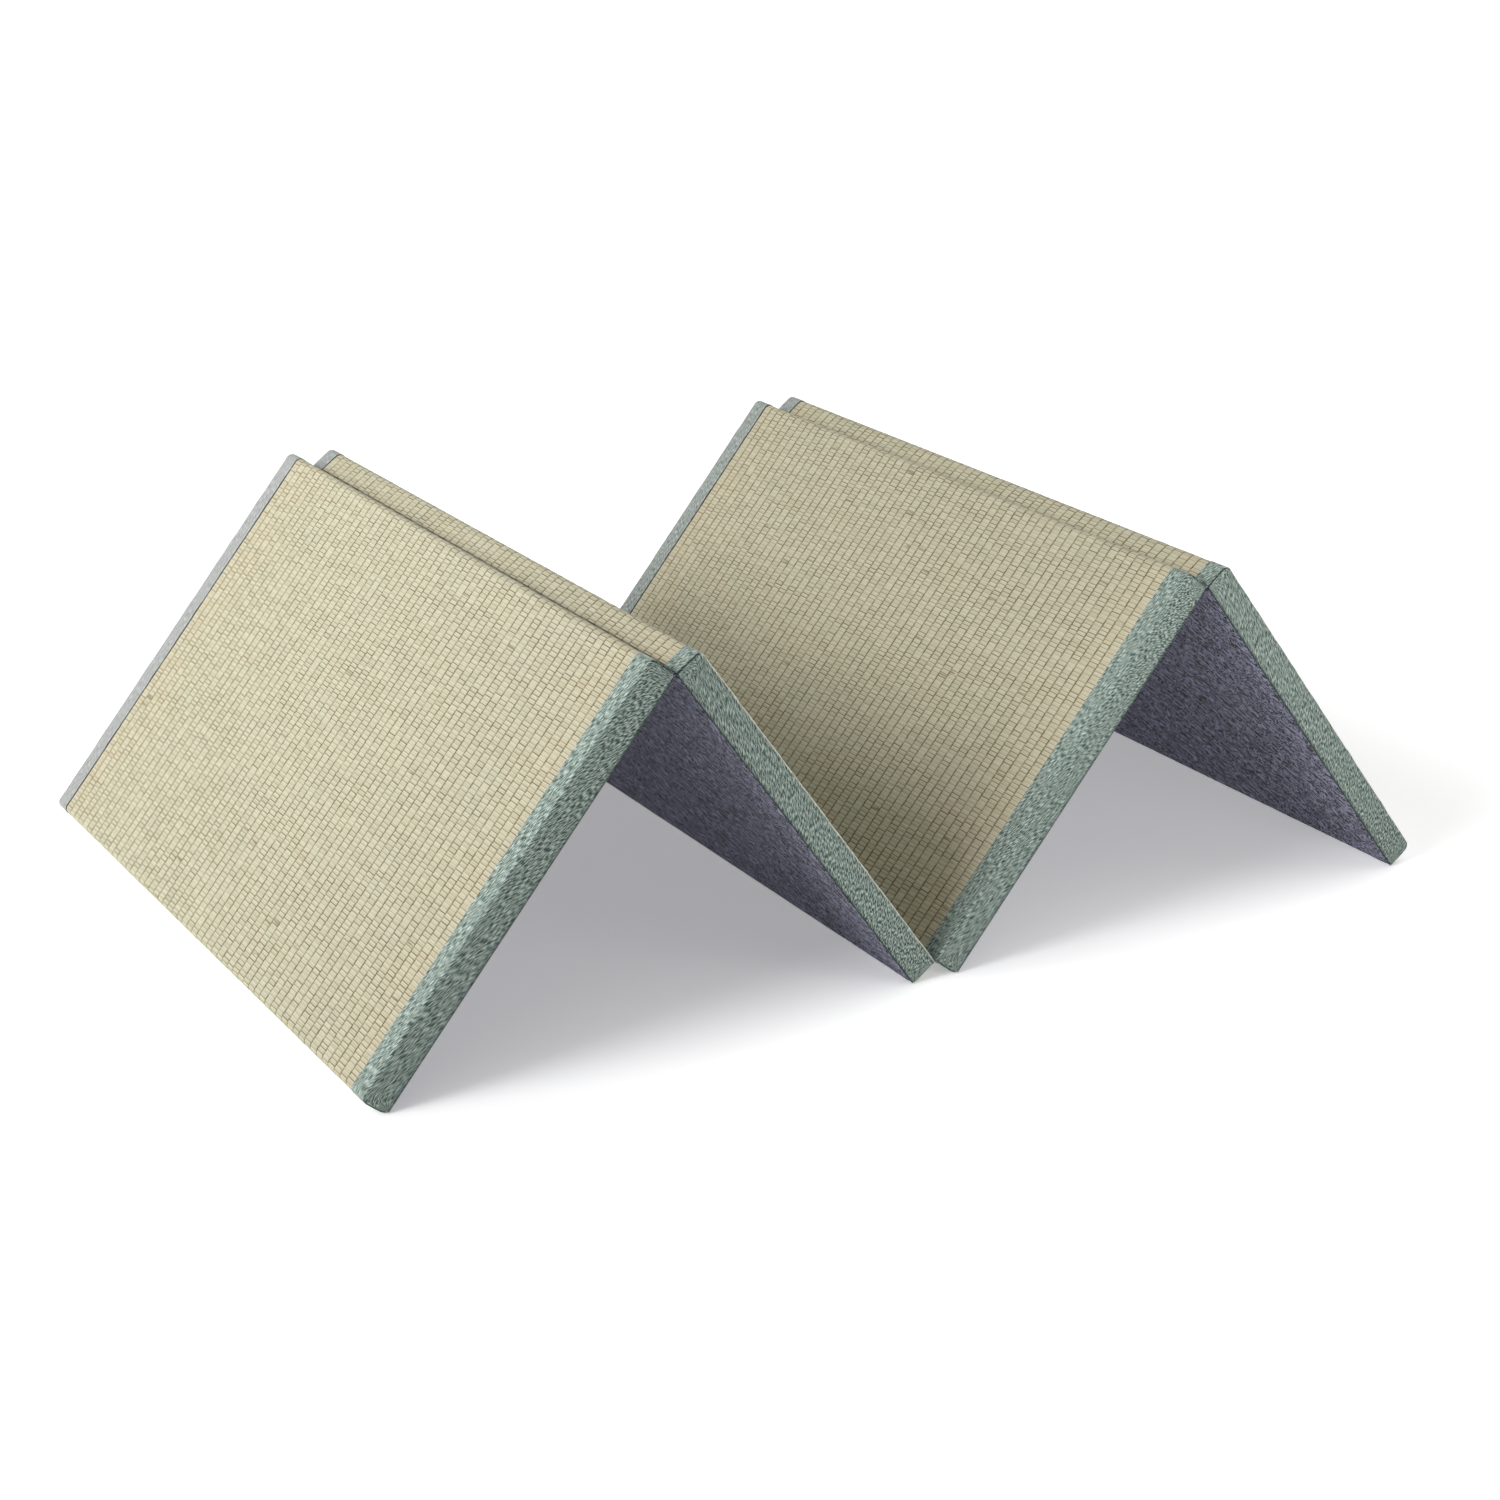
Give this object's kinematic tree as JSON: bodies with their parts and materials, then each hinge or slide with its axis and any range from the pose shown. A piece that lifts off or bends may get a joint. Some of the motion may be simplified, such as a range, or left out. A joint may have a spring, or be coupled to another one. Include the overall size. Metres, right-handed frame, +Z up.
{
  "type": "folding tatami mat",
  "caption": "Folding floor mat of stiff filled panels faced with woven rush, backed with felt and bound with cloth along both long sides, standing in a zigzag.",
  "frame": {"origin": "on the floor, under the middle of the mat's bounding box", "axes": "+X along the mat from its first panel to its last, +Y across its width, +Z up"},
  "size_m": [1.34, 0.9, 0.4145],
  "materials": {
    "rush": "woven rush, dry and softly glossy along the stalks",
    "binding": "matt woven cloth, sage green",
    "felt": "matt needle-punched felt, dark purple grey"
  },
  "bodies": {
    "root": {"rush_pad_1": "rush", "rush_pad_2_3": "rush", "rush_pad_4": "rush", "felt_back_1_2": "felt", "felt_back_3_4": "felt", "binding_near_1": "binding", "binding_near_2": "binding", "binding_near_3": "binding", "binding_near_4": "binding", "binding_far_1": "binding", "binding_far_2": "binding", "binding_far_3": "binding", "binding_far_4": "binding"}
  },
  "joints": []
}
